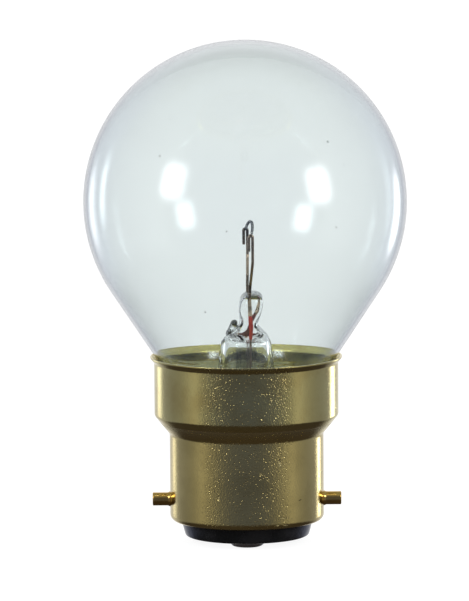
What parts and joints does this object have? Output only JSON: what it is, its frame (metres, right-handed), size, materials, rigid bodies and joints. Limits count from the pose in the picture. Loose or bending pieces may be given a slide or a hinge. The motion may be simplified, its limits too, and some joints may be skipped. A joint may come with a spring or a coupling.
{
  "type": "light bulb",
  "caption": "Clear round filament lamp with a tapered neck and a brass bayonet cap, for a push and twist lampholder.",
  "frame": {"origin": "on the lamp's axis, at the face of the two solder contacts it stands on", "axes": "+Z along the lamp's axis from the contacts to the crown of the globe, +X out through the right bayonet pin, +Y towards the rear contact"},
  "size_m": [0.046, 0.046, 0.0719],
  "materials": {
    "clear_glass": "clear soda glass, glossy",
    "stem_glass": "clear lead glass, glossy",
    "lead_nickel": "drawn nickel wire, slightly oxidised",
    "seal_copper": "oxidised copper cladding, red through the glass",
    "lead_copper": "drawn copper wire",
    "tungsten": "drawn tungsten",
    "cap_brass": "drawn brass, polished, with dull tarnished patches and scratches",
    "pin_brass": "turned brass, polished",
    "cement": "baked capping cement, dull",
    "black_glass": "black vitreous insulator, glossy",
    "contact_brass": "stamped brass, satin",
    "solder": "soft solder, satin, worn flat"
  },
  "bodies": {
    "root": {"glass_bulb": "clear_glass", "glass_stem": "stem_glass", "exhaust_tube": "stem_glass", "inner_lead_front": "lead_nickel", "inner_lead_rear": "lead_nickel", "seal_wire_front": "seal_copper", "seal_wire_rear": "seal_copper", "outer_lead_front": "lead_copper", "outer_lead_rear": "lead_copper", "filament": "tungsten", "cap_shell": "cap_brass", "bayonet_pin_left": "pin_brass", "bayonet_pin_right": "pin_brass", "capping_cement": "cement", "insulator": "black_glass", "contact_plate_front": "contact_brass", "contact_plate_rear": "contact_brass", "solder_bead_front": "solder", "solder_bead_rear": "solder"}
  },
  "joints": []
}
